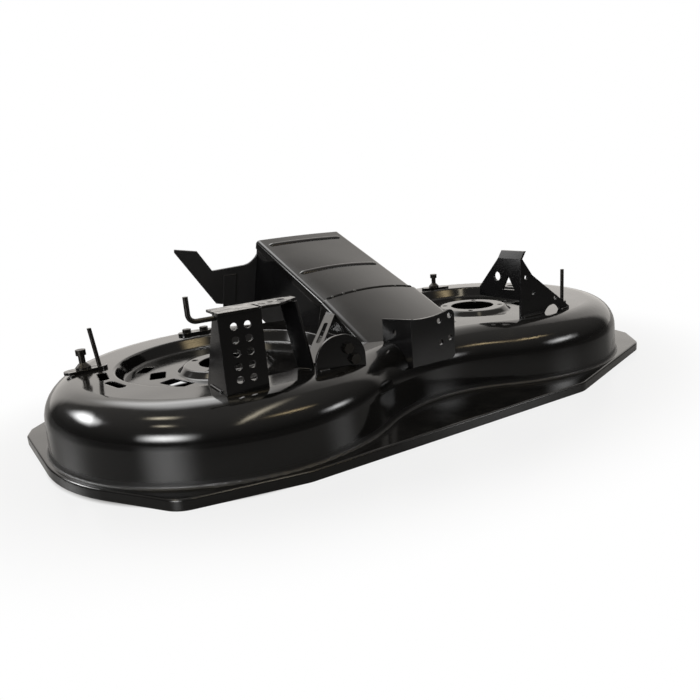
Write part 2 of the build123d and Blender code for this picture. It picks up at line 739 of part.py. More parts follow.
def guide_strip(name):
    """Make one flat strip on a crown, drilled for its bolts."""
    with BuildPart() as strip:
        with BuildSketch(Plane(guide_places[name])):
            SlotOverall(STRIP_L, STRIP_W)
        extrude(amount=STRIP_T)
        with Locations(*bolt_places[name]):
            Cylinder(SHANK_HOLE_R, 4 * STRIP_T, mode=Mode.SUBTRACT)
    return strip


def turned_bolt(place, profile):
    """Turn a bolt about a vertical axis from the half profile of its head, with a shank below the crown."""
    low = -(SHEET + NUT_H + THREAD_SPARE)
    with BuildPart() as bolt:
        with BuildSketch(Plane.XZ):
            with BuildLine():
                Polyline((0, low), (SHANK_R, low), *profile, close=True)
            make_face()
        revolve(axis=Axis.Z)
    return place * bolt.part


guide_strip_left = guide_strip("left")
guide_strip_right = guide_strip("right")
guide_strip_rear = guide_strip("rear")

neck_z = STRIP_T + KNOB_FLANGE_H + KNOB_CONE_H
knob_profile = [
    (SHANK_R, STRIP_T),
    (KNOB_FLANGE_R, STRIP_T),
    (KNOB_FLANGE_R, STRIP_T + KNOB_FLANGE_H),
    (KNOB_NECK_R, neck_z),
    (KNOB_NECK_R, neck_z + KNOB_NECK_H),
    (KNOB_HEAD_R, neck_z + KNOB_NECK_H),
    (KNOB_HEAD_R, neck_z + KNOB_NECK_H + KNOB_HEAD_H),
    (0, neck_z + KNOB_NECK_H + KNOB_HEAD_H),
]
pin_profile = [
    (SHANK_R, 0),
    (PIN_COLLAR_R, 0),
    (PIN_COLLAR_R, PIN_COLLAR_H),
    (GUIDE_ROD_R, PIN_COLLAR_H),
    (GUIDE_ROD_R, PIN_COLLAR_H + GUIDE_ROD_H),
    (0, PIN_COLLAR_H + GUIDE_ROD_H),
]
guide_bolt_left = turned_bolt(bolt_places["left"][0], knob_profile)
guide_bolt_right = turned_bolt(bolt_places["right"][0], knob_profile)
guide_pin_right = turned_bolt(bolt_places["pin"][0], pin_profile)

with BuildPart() as guide_rod_left:
    with BuildSketch(Plane(guide_places["left"] * Location((GUIDE_ROD_STEP, 0, STRIP_T)))):
        Circle(GUIDE_ROD_R)
    extrude(amount=GUIDE_ROD_H, dir=(-GUIDE_ROD_LEAN, 0, GUIDE_ROD_H))

with BuildPart() as rear_bolts:
    for place in bolt_places["rear"]:
        with BuildSketch(Plane(place * Location((0, 0, STRIP_T)))):
            RegularPolygon(NUT_ACROSS / 2, 6, major_radius=False)
        extrude(amount=BOLT_HEAD_H)
        with BuildSketch(Plane(place * Location((0, 0, STRIP_T)))):
            Circle(SHANK_R)
        extrude(amount=-(STRIP_T + SHEET + NUT_H + THREAD_SPARE))

with BuildPart() as guide_nuts:
    for place in all_bolts:
        with BuildSketch(Plane(place * Location((0, 0, -SHEET)))):
            RegularPolygon(NUT_ACROSS / 2, 6, major_radius=False)
            Circle(SHANK_R + NUT_CLEARANCE, mode=Mode.SUBTRACT)
        extrude(amount=-NUT_H)

pieces = {
    "deck_shell": deck_shell.part,
    "chute_roof": chute_roof.part,
    "chute_side_left": chute_side_left,
    "chute_side_right": chute_side_right,
    "chute_floor": chute_floor.part,
    "chute_wing": chute_wing.part,
    "lift_bracket_right": lift_bracket_right.part,
    "tower_bracket": tower_bracket.part,
    "tower_top_plate": tower_top_plate.part,
    "tower_hook_rod": tower_hook_rod.part,
    "tower_brace": tower_brace.part,
    "hood_stay": hood_stay.part,
    "centre_bracket": centre_bracket.part,
    "hood_lug": hood_lug.part,
    "lug_bolts": lug_bolts.part,
    "lug_nuts": lug_nuts.part,
    "guide_strip_left": guide_strip_left.part,
    "guide_strip_right": guide_strip_right.part,
    "guide_strip_rear": guide_strip_rear.part,
    "guide_rod_left": guide_rod_left.part,
    "guide_bolt_left": guide_bolt_left,
    "guide_bolt_right": guide_bolt_right,
    "guide_pin_right": guide_pin_right,
    "rear_bolts": rear_bolts.part,
    "guide_nuts": guide_nuts.part,
}
os.makedirs("parts", exist_ok=True)
for name, piece in pieces.items():
    piece.label = name
    export_step(piece, f"parts/{name}.step")
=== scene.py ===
"""Looks of a bare twin-blade mower deck in gloss black enamel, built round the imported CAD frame."""

import logging
import math
from dataclasses import dataclass, field
from enum import Enum
from typing import Any

import bpy
from mathutils import Matrix, Vector


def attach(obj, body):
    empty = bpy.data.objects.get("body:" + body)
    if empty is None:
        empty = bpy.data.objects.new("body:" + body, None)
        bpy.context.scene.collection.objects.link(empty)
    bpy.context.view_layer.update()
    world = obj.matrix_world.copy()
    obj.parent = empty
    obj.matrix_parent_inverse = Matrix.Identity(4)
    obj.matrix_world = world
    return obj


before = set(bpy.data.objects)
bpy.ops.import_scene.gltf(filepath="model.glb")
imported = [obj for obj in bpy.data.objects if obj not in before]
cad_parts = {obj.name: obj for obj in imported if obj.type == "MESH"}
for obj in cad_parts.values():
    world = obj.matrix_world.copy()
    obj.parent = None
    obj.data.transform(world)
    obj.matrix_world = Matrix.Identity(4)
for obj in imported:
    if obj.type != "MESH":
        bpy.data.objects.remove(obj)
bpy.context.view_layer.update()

LOG = logging.getLogger("deck")
MM = 0.001
SMOOTH_ANGLE = math.radians(50)


class Finish(Enum):
    """Finishes on the deck."""

    GLOSS = "gloss enamel"
    SATIN = "satin enamel"
    BENT = "wavy enamel"
    DULL = "dull enamel"
    # A dark bead that paints the shadow in the joint of the chute's roof and hood.
    SEALER = "joint sealer"
    STEEL = "blackened steel"


def linear(code: str) -> tuple[float, float, float, float]:
    """Turn an sRGB hex code into linear colour.

    Args:
        code: six hex digits, with or without a leading hash.

    Returns:
        Red, green, blue and an alpha of one.
    """
    digits = code.lstrip("#")
    parts = [int(digits[i : i + 2], 16) / 255 for i in (0, 2, 4)]
    red, green, blue = (c / 12.92 if c <= 0.04045 else ((c + 0.055) / 1.055) ** 2.4 for c in parts)
    return red, green, blue, 1.0


def add_node(
    tree: bpy.types.NodeTree, kind: str, links: dict[Any, Any] | None = None, **settings: Any
) -> bpy.types.Node:
    """Add one node with its settings and what feeds it.

    Args:
        tree: the node tree to add to.
        kind: Blender's name of the node type.
        links: input name or number to a constant or to another node's output.
        settings: attributes of the node itself.

    Returns:
        The new node.
    """
    node = tree.nodes.new(kind)
    for name, value in settings.items():
        setattr(node, name, value)
    for socket, value in (links or {}).items():
        if isinstance(value, bpy.types.NodeSocket):
            tree.links.new(value, node.inputs[socket])
        else:
            node.inputs[socket].default_value = value
    return node


def blank_material(name: str) -> tuple[bpy.types.Material, bpy.types.NodeTree]:
    """Make an empty node material.

    Args:
        name: the material's name.

    Returns:
        The material and its node tree.
    """
    material = bpy.data.materials.new(name)
    material.use_nodes = True
    material.node_tree.nodes.clear()
    return material, material.node_tree


@dataclass(frozen=True)
class GlossEnamel:
    """Stoved gloss black enamel sprayed on pressed steel.

    A black, wet-looking film: mirror-like at a low angle, faintly rippled by the spray and by the pressing
    under it, with a little pale dust settled on level faces. The spray lies dull in the corner over the rim.

    Args:
        name: the material's name.
        colour: sRGB hex code of the film.
        dust: sRGB hex code of the dust.
        dust_share: the most that dust covers.
        dust_patch: haze at which dust starts, and at which it is thickest.
        level_from: how far a face must look up for dust to stay on it, where one is level.
        roughness: that of the clearest film, and of the haziest.
        haze_mm: size of the hazy patches.
        haze_span: haze that counts as clearest, and as haziest.
        ior: index of refraction of the film.
        peel_mm: size of the spray ripple.
        peel_depth_mm: its depth.
        ripple_mm: size of the waves that the press leaves.
        ripple_depth_mm: their depth.
        edge_mm: radius of painted edges.
        flange_mm: height of the flange's top.
        skin_mm: height over the flange at which its corner starts.
        corner_mm: height of the dull corner over the flange.
        corner_dull: roughness added there.
    """

    name: str = "stoved_black_enamel"
    colour: str = "#0a0a0a"
    dust: str = "#5c5a55"
    dust_share: float = 0.05
    dust_patch: tuple[float, float] = (0.42, 0.72)
    level_from: float = 0.55
    roughness: tuple[float, float] = (0.07, 0.14)
    haze_mm: float = 45.0
    haze_span: tuple[float, float] = (0.3, 0.7)
    ior: float = 1.5
    peel_mm: float = 3.2
    peel_depth_mm: float = 0.012
    ripple_mm: float = 70.0
    ripple_depth_mm: float = 0.7
    edge_mm: float = 2.2
    flange_mm: float = 14.0
    skin_mm: float = 0.1
    corner_mm: float = 6.0
    corner_dull: float = 0.3

    @classmethod
    def bent(cls) -> "GlossEnamel":
        """Return the coat of the small bars and plates that were bent by hand and are wavy from it."""
        return cls(
            "wavy_black_enamel", roughness=(0.08, 0.16), ripple_mm=11.0, ripple_depth_mm=1.8, edge_mm=1.0
        )

    @classmethod
    def panel(cls) -> "GlossEnamel":
        """Return the dull and dusty coat of the plate beside the chute, its film painted lighter grey for the
        brighter light on that plate.
        """
        # The lighter film is painted light: the same black enamel, lightened for the light on the wing.
        return cls(
            "dull_black_enamel", colour="#2a2a2b", dust_share=0.1, roughness=(0.34, 0.46), edge_mm=1.0
        )

    @classmethod
    def satin(cls) -> "GlossEnamel":
        """Return the thinner and duller coat of the folded sheets."""
        return cls(
            "satin_black_enamel", colour="#0c0c0d", dust_share=0.06, roughness=(0.14, 0.22), edge_mm=1.2
        )

    def dusted(self, tree: bpy.types.NodeTree, haze: bpy.types.NodeSocket) -> bpy.types.NodeSocket:
        """Lay dust on the level faces.

        Args:
            tree: the enamel's node tree.
            haze: the haze of the film.

        Returns:
            The colour of the film and its dust.
        """
        facing = add_node(tree, "ShaderNodeNewGeometry").outputs["Normal"]
        up = add_node(tree, "ShaderNodeSeparateXYZ", {"Vector": facing}).outputs["Z"]
        level = add_node(
            tree, "ShaderNodeMapRange", {"Value": up, "From Min": self.level_from, "From Max": 1.0}
        ).outputs["Result"]
        patch = add_node(
            tree,
            "ShaderNodeMapRange",
            {
                "Value": haze,
                "From Min": self.dust_patch[0],
                "From Max": self.dust_patch[1],
                "To Max": self.dust_share,
            },
        ).outputs["Result"]
        settled = add_node(tree, "ShaderNodeMath", {0: level, 1: patch}, operation="MULTIPLY")
        return add_node(
            tree,
            "ShaderNodeMix",
            {"Factor": settled.outputs["Value"], "A": linear(self.colour), "B": linear(self.dust)},
            data_type="RGBA",
        ).outputs["Result"]

    def dulled(
        self, tree: bpy.types.NodeTree, place: bpy.types.NodeSocket, haze: bpy.types.NodeSocket
    ) -> bpy.types.NodeSocket:
        """Dull the film in its hazy patches and in the corner over the rim.

        Args:
            tree: the enamel's node tree.
            place: the place on the deck.
            haze: the haze of the film.

        Returns:
            The roughness of the film.
        """
        gloss = add_node(
            tree,
            "ShaderNodeMapRange",
            {
                "Value": haze,
                "From Min": self.haze_span[0],
                "From Max": self.haze_span[1],
                "To Min": self.roughness[0],
                "To Max": self.roughness[1],
            },
        ).outputs["Result"]
        height = add_node(tree, "ShaderNodeSeparateXYZ", {"Vector": place}).outputs["Z"]
        over = add_node(
            tree,
            "ShaderNodeMath",
            {0: height, 1: (self.flange_mm + self.skin_mm) * MM},
            operation="GREATER_THAN",
        ).outputs["Value"]
        corner = add_node(
            tree,
            "ShaderNodeMapRange",
            {
                "Value": height,
                "From Min": (self.flange_mm + self.corner_mm) * MM,
                "From Max": (self.flange_mm + 2 * self.corner_mm) * MM,
                "To Min": self.corner_dull,
                "To Max": 0.0,
            },
        ).outputs["Result"]
        return add_node(
            tree, "ShaderNodeMath", {0: over, 1: corner, 2: gloss}, operation="MULTIPLY_ADD"
        ).outputs["Value"]

    def rippled(self, tree: bpy.types.NodeTree, place: bpy.types.NodeSocket) -> bpy.types.NodeSocket:
        """Round the painted edges and ripple the film.

        Args:
            tree: the enamel's node tree.
            place: the place on the deck.

        Returns:
            The normal of the film.
        """
        # Spray ripple is about 3 mm across on stoved enamel, and the press leaves longer waves in the sheet.
        peel, wave = (
            add_node(
                tree,
                "ShaderNodeTexNoise",
                {"Vector": place, "Scale": 1 / (size_mm * MM), "Detail": detail},
            ).outputs["Fac"]
            for size_mm, detail in ((self.peel_mm, 1.0), (self.ripple_mm, 0.0))
        )
        # Paint draws back from cut edges and leaves them round.
        normal = add_node(tree, "ShaderNodeBevel", {"Radius": self.edge_mm * MM}, samples=6).outputs["Normal"]
        for relief, depth_mm in ((wave, self.ripple_depth_mm), (peel, self.peel_depth_mm)):
            normal = add_node(
                tree,
                "ShaderNodeBump",
                {"Strength": 1.0, "Distance": depth_mm * MM, "Height": relief, "Normal": normal},
            ).outputs["Normal"]
        return normal

    def build(self) -> bpy.types.Material:
        """Return the enamel material."""
        material, tree = blank_material(self.name)
        place = add_node(tree, "ShaderNodeTexCoord").outputs["Object"]
        haze = add_node(
            tree,
            "ShaderNodeTexNoise",
            {"Vector": place, "Scale": 1 / (self.haze_mm * MM), "Detail": 5.0, "Roughness": 0.62},
        ).outputs["Fac"]
        shader = add_node(
            tree,
            "ShaderNodeBsdfPrincipled",
            {
                "Base Color": self.dusted(tree, haze),
                "Roughness": self.dulled(tree, place, haze),
                "IOR": self.ior,
                "Normal": self.rippled(tree, place),
            },
        )
        add_node(tree, "ShaderNodeOutputMaterial", {"Surface": shader.outputs["BSDF"]})
        return material


@dataclass(frozen=True)
class BlackenedSteel:
    """Turned and drawn steel with a black oxide finish.

    A dark grey metal with a soft satin sheen, drawn out along its length, a little browner where oil has
    dried.

    Args:
        name: the material's name.
        colour: sRGB hex code of the oxide.
        oil: sRGB hex code of dried oil.
        roughness: that of dry oxide, and of oily oxide.
        oil_span: how oily dry oxide is, and oily oxide.
        grain_mm: width of the turning marks.
        grain_stretch: their size along each axis over their width, upside down.
        mark_depth_mm: their depth.
        patch_mm: size of the oily patches.
    """

    name: str = "black_oxide_steel"
    colour: str = "#4a4947"
    oil: str = "#2c2926"
    roughness: tuple[float, float] = (0.28, 0.45)
    oil_span: tuple[float, float] = (0.3, 0.7)
    grain_mm: float = 0.6
    grain_stretch: tuple[float, float, float] = (0.15, 0.15, 1.0)
    mark_depth_mm: float = 0.02
    patch_mm: float = 9.0

    def build(self) -> bpy.types.Material:
        """Return the blackened steel material."""
        material, tree = blank_material(self.name)
        place = add_node(tree, "ShaderNodeTexCoord").outputs["Object"]
        # Turning marks run round the bolts and rods, so the grain is stretched level.
        drawn = add_node(tree, "ShaderNodeMapping", {"Vector": place, "Scale": self.grain_stretch})
        grain = add_node(
            tree,
            "ShaderNodeTexNoise",
            {"Vector": drawn.outputs["Vector"], "Scale": 1 / (self.grain_mm * MM), "Detail": 2.0},
        ).outputs["Fac"]
        patch = add_node(
            tree,
            "ShaderNodeTexNoise",
            {"Vector": place, "Scale": 1 / (self.patch_mm * MM), "Detail": 3.0},
        ).outputs["Fac"]
        base = add_node(
            tree,
            "ShaderNodeMix",
            {"Factor": patch, "A": linear(self.colour), "B": linear(self.oil)},
            data_type="RGBA",
        )
        gloss = add_node(
            tree,
            "ShaderNodeMapRange",
            {
                "Value": patch,
                "From Min": self.oil_span[0],
                "From Max": self.oil_span[1],
                "To Min": self.roughness[0],
                "To Max": self.roughness[1],
            },
        )
        marks = add_node(
            tree,
            "ShaderNodeBump",
            {"Strength": 1.0, "Distance": self.mark_depth_mm * MM, "Height": grain},
        )
        shader = add_node(
            tree,
            "ShaderNodeBsdfPrincipled",
            {
                "Base Color": base.outputs["Result"],
                "Metallic": 1.0,
                "Roughness": gloss.outputs["Result"],
                "Normal": marks.outputs["Normal"],
            },
        )
        add_node(tree, "ShaderNodeOutputMaterial", {"Surface": shader.outputs["BSDF"]})
        return material


@dataclass(frozen=True)
class PaintedJointShadow:
    """Matt black bead of painted shadow in the chute's joint, dark where the roof's edge would leave a
    shadowed gap over the hood: dull, with small pits and brush marks.

    Args:
        name: the material's name.
        colour: sRGB hex code of the bead, a painted shadow.
        pale_fleck: sRGB hex code of its paler flecks.
        roughness: that of the bead.
        shine: its specular level.
        pit_mm: size of the pits.
        pit_depth_mm: their depth.
    """

    name: str = "matt_painted_joint_shadow"
    colour: str = "#060606"
    pale_fleck: str = "#161616"
    roughness: float = 0.85
    shine: float = 0.2
    pit_mm: float = 2.5
    pit_depth_mm: float = 0.3

    def build(self) -> bpy.types.Material:
        """Return the material of the dark bead, a painted shadow."""
        material, tree = blank_material(self.name)
        place = add_node(tree, "ShaderNodeTexCoord").outputs["Object"]
        pits = add_node(
            tree, "ShaderNodeTexNoise", {"Vector": place, "Scale": 1 / (self.pit_mm * MM), "Detail": 3.0}
        ).outputs["Fac"]
        base = add_node(
            tree,
            "ShaderNodeMix",
            {"Factor": pits, "A": linear(self.colour), "B": linear(self.pale_fleck)},
            data_type="RGBA",
        )
        relief = add_node(
            tree, "ShaderNodeBump", {"Strength": 1.0, "Distance": self.pit_depth_mm * MM, "Height": pits}
        )
        shader = add_node(
            tree,
            "ShaderNodeBsdfPrincipled",
            {
                "Base Color": base.outputs["Result"],
                "Roughness": self.roughness,
                "Specular IOR Level": self.shine,
                "Normal": relief.outputs["Normal"],
            },
        )
        add_node(tree, "ShaderNodeOutputMaterial", {"Surface": shader.outputs["BSDF"]})
        return material


@dataclass(frozen=True)
class SweepPaper:
    """Pale satin background paper: white to the eye, with the object's shadow kept.

    A pool of light is painted into the paper's colour round the deck, and the paper round the pool is painted
    dark for the dark of the room. Under the two chambers of the deck the paper is left in the deck's own
    shadow.

    Args:
        name: the material's name.
        colour: sRGB hex code of the paper in the pool of light, which is painted.
        painted_dark: sRGB hex code of the paper round the pool, painted dark for the dark of the room.
        sheen_roughness: roughness of the paper.
        pool: half the pool's width and depth, in metres.
        pool_edge: where the pool ends, in halves of its size.
        shadow_edge: where the shadow starts to fade and has faded, in halves of the pool's size.
        chamber_at: middle of the right chamber, in metres; the left one is opposite.
        chamber_radius: radius of a chamber, in metres.
        chamber_edge: width of the step from its shadow to open paper, in metres.
        white_share: how much of the paper beside the deck shows as plain white.
        mirrored_share: how much of it shows as plain white in the enamel.
    """

    name: str = "satin_sweep_paper"
    colour: str = "#787878"
    painted_dark: str = "#404040"
    sheen_roughness: float = 0.3
    pool: tuple[float, float] = (0.66, 0.44)
    pool_edge: float = 1.45
    shadow_edge: tuple[float, float] = (0.8, 1.2)
    chamber_at: tuple[float, float] = (0.255, 0.0128)
    chamber_radius: float = 0.257
    chamber_edge: float = 0.01
    white_share: float = 0.84
    mirrored_share: float = 0.06

    def bare_paper(self, tree: bpy.types.NodeTree, place: bpy.types.NodeSocket) -> bpy.types.NodeSocket:
        """Tell the paper in the open from the paper under the deck.

        Args:
            tree: the paper's node tree.
            place: the place on the paper.

        Returns:
            One in the open and nought between and under the chambers.
        """
        half_row, stagger = self.chamber_at
        sides = add_node(tree, "ShaderNodeSeparateXYZ", {"Vector": place}).outputs
        across = add_node(tree, "ShaderNodeMath", {0: sides["X"]}, operation="ABSOLUTE").outputs["Value"]
        past = add_node(tree, "ShaderNodeMath", {0: across, 1: half_row}, operation="SUBTRACT")
        beyond = add_node(
            tree, "ShaderNodeMath", {0: past.outputs["Value"], 1: 0.0}, operation="MAXIMUM"
        ).outputs["Value"]
        level = add_node(
            tree,
            "ShaderNodeMath",
            {0: sides["X"], 1: -stagger / half_row, 2: sides["Y"]},
            operation="MULTIPLY_ADD",
        ).outputs["Value"]
        flat = add_node(tree, "ShaderNodeCombineXYZ", {"X": beyond, "Y": level}).outputs["Vector"]
        away = add_node(tree, "ShaderNodeVectorMath", {0: flat}, operation="LENGTH").outputs["Value"]
        return add_node(
            tree,
            "ShaderNodeMapRange",
            {
                "Value": away,
                "From Min": self.chamber_radius,
                "From Max": self.chamber_radius + self.chamber_edge,
            },
        ).outputs["Result"]

    def plain_white(
        self, tree: bpy.types.NodeTree, reach: bpy.types.NodeSocket, painted_pool: bpy.types.NodeSocket
    ) -> bpy.types.NodeSocket:
        """Work out how much of the open paper shows as plain white, to the eye and in the enamel.

        Args:
            tree: the paper's node tree.
            reach: the distance from the middle of the pool, in halves of its size.
            painted_pool: one in the painted pool of light and nought outside it.

        Returns:
            The share of plain white.
        """
        rays = add_node(tree, "ShaderNodeLightPath").outputs
        seen = add_node(
            tree,
            "ShaderNodeMapRange",
            {
                "Value": reach,
                "From Min": self.shadow_edge[0],
                "From Max": self.shadow_edge[1],
                "To Min": self.white_share,
                "To Max": 1.0,
            },
            interpolation_type="SMOOTHSTEP",
        ).outputs["Result"]
        pooled = add_node(tree, "ShaderNodeMath", {0: painted_pool, 1: self.mirrored_share}, operation="MULTIPLY")
        bounced = add_node(
            tree,
            "ShaderNodeMath",
            {0: rays["Is Glossy Ray"], 1: rays["Is Transmission Ray"]},
            operation="MAXIMUM",
        ).outputs["Value"]
        direct = add_node(
            tree, "ShaderNodeMath", {0: rays["Is Camera Ray"], 1: seen}, operation="MULTIPLY"
        ).outputs["Value"]
        mirrored = add_node(
            tree, "ShaderNodeMath", {0: bounced, 1: pooled.outputs["Value"]}, operation="MULTIPLY"
        ).outputs["Value"]
        either = add_node(tree, "ShaderNodeMath", {0: direct, 1: mirrored}, operation="MAXIMUM")
        return either.outputs["Value"]

    def build(self) -> bpy.types.Material:
        """Return the paper material."""
        material, tree = blank_material(self.name)
        place = add_node(tree, "ShaderNodeTexCoord").outputs["Object"]
        scale = (1 / self.pool[0], 1 / self.pool[1], 0.0)
        spread = add_node(tree, "ShaderNodeMapping", {"Vector": place, "Scale": scale}).outputs["Vector"]
        reach = add_node(tree, "ShaderNodeVectorMath", {0: spread}, operation="LENGTH").outputs["Value"]
        # A pool of light painted into the paper: one near the deck, nought beyond the pool's edge.
        painted_pool = add_node(
            tree,
            "ShaderNodeMapRange",
            {"Value": reach, "From Min": 1.0, "From Max": self.pool_edge, "To Min": 1.0, "To Max": 0.0},
            interpolation_type="SMOOTHSTEP",
        ).outputs["Result"]
        share = add_node(
            tree,
            "ShaderNodeMath",
            {0: self.plain_white(tree, reach, painted_pool), 1: self.bare_paper(tree, place)},
            operation="MULTIPLY",
        )
        # Painted light and shade: the paper is pale in the pool and dark round it.
        tone = add_node(
            tree,
            "ShaderNodeMix",
            {"Factor": painted_pool, "A": linear(self.painted_dark), "B": linear(self.colour)},
            data_type="RGBA",
        )
        paper = add_node(
            tree,
            "ShaderNodeBsdfPrincipled",
            {"Base Color": tone.outputs["Result"], "Roughness": self.sheen_roughness},
        )
        white = add_node(tree, "ShaderNodeEmission", {"Color": (1.0, 1.0, 1.0, 1.0), "Strength": 1.0})
        mixed = add_node(
            tree,
            "ShaderNodeMixShader",
            {0: share.outputs["Value"], 1: paper.outputs["BSDF"], 2: white.outputs["Emission"]},
        )
        add_node(tree, "ShaderNodeOutputMaterial", {"Surface": mixed.outputs["Shader"]})
        return material


@dataclass
class Lamp:
    """A rectangular lamp whose face fades towards its edges, as diffuser cloth does.

    Args:
        name: the lamp's name.
        size: width and height of its face, in metres.
        glow: brightness of its face, where white paper in full light is one.
        colour: sRGB hex code of its light.
        core: half the share of its face that is fully bright.
    """

    name: str
    size: tuple[float, float]
    glow: float
    colour: str = "#ffffff"
    core: float = 0.0

    def soften(self, lamp: bpy.types.Light) -> None:
        """Let the lamp's face fade from its core to its edges.

        Args:
            lamp: the lamp's data.
        """
        lamp.use_nodes = True
        tree = lamp.node_tree
        tree.nodes.clear()
        face = add_node(tree, "ShaderNodeNewGeometry").outputs["Parametric"]
        middle = add_node(tree, "ShaderNodeVectorMath", {0: face, 1: (0.5, 0.5, 0.0)}, operation="SUBTRACT")
        out = add_node(tree, "ShaderNodeVectorMath", {0: middle.outputs["Vector"]}, operation="ABSOLUTE")
        sides = add_node(tree, "ShaderNodeSeparateXYZ", {"Vector": out.outputs["Vector"]}).outputs
        across, along = (
            add_node(
                tree,
                "ShaderNodeMapRange",
                {
                    "Value": sides[axis],
                    "From Min": self.core,
                    "From Max": 0.5,
                    "To Min": 1.0,
                    "To Max": 0.0,
                },
                interpolation_type="SMOOTHSTEP",
            ).outputs["Result"]
            for axis in ("X", "Y")
        )
        shade = add_node(tree, "ShaderNodeMath", {0: across, 1: along}, operation="MULTIPLY")
        glow = add_node(tree, "ShaderNodeEmission", {"Strength": shade.outputs["Value"]})
        add_node(tree, "ShaderNodeOutputLight", {"Surface": glow.outputs["Emission"]})

    def light(self, place: Vector, turn: Matrix) -> bpy.types.Object:
        """Add the lamp to the scene.

        Args:
            place: the middle of its face, in metres.
            turn: the turn that aims it, from facing straight down.

        Returns:
            The lamp.
        """
        bpy.ops.object.select_all(action="DESELECT")
        bpy.ops.object.light_add(type="AREA", location=place, rotation=turn.to_euler())
        lamp = bpy.context.object
        lamp.name = self.name
        lamp.data.shape = "RECTANGLE"
        lamp.data.size, lamp.data.size_y = self.size
        lamp.data.energy = self.glow * math.pi * self.size[0] * self.size[1]
        lamp.data.color = linear(self.colour)[:3]
        self.soften(lamp.data)
        return lamp


@dataclass
class SoftBox(Lamp):
    """A studio lamp, placed where a point of the deck mirrors it.

    Args:
        spot: the point that mirrors it, in metres.
        bearing: degrees from the front, to the right.
        height: degrees above the level.
        reach: its distance from the spot, in metres.
    """

    spot: tuple[float, float, float] = (0.0, 0.0, 0.0)
    bearing: float = 0.0
    height: float = 45.0
    reach: float = 2.4

    def hang(self) -> bpy.types.Object:
        """Return the lamp, hung and aimed at its spot."""
        bearing, height = math.radians(self.bearing), math.radians(self.height)
        level = math.cos(height)
        away = Vector((math.sin(bearing) * level, -math.cos(bearing) * level, math.sin(height)))
        return self.light(Vector(self.spot) + away * self.reach, away.to_track_quat("Z", "Y").to_matrix())


@dataclass
class CeilingTube(Lamp):
    """A fluorescent fitting on the ceiling of the room.

    Args:
        middle: its middle seen from above, in metres.
        way: degrees from the left-right line to its length.
        ceiling: its height, in metres.
    """

    middle: tuple[float, float] = (0.0, 0.0)
    way: float = 0.0
    ceiling: float = 2.1

    def hang(self) -> bpy.types.Object:
        """Return the fitting, facing down."""
        turn = Matrix.Rotation(math.radians(self.way), 3, "Z")
        return self.light(Vector((*self.middle, self.ceiling)), turn)


# Points of the deck in which the studio lamps are mirrored, in metres.
LEFT_LOBE = (-0.40, -0.217, 0.08)
LEFT_END = (-0.467, -0.128, 0.089)
RIGHT_LOBE = (0.22, -0.24, 0.075)
DISHES = (-0.25, 0.0, 0.09)

WARM = "#fff3d8"
AMBER = "#ffe5b2"


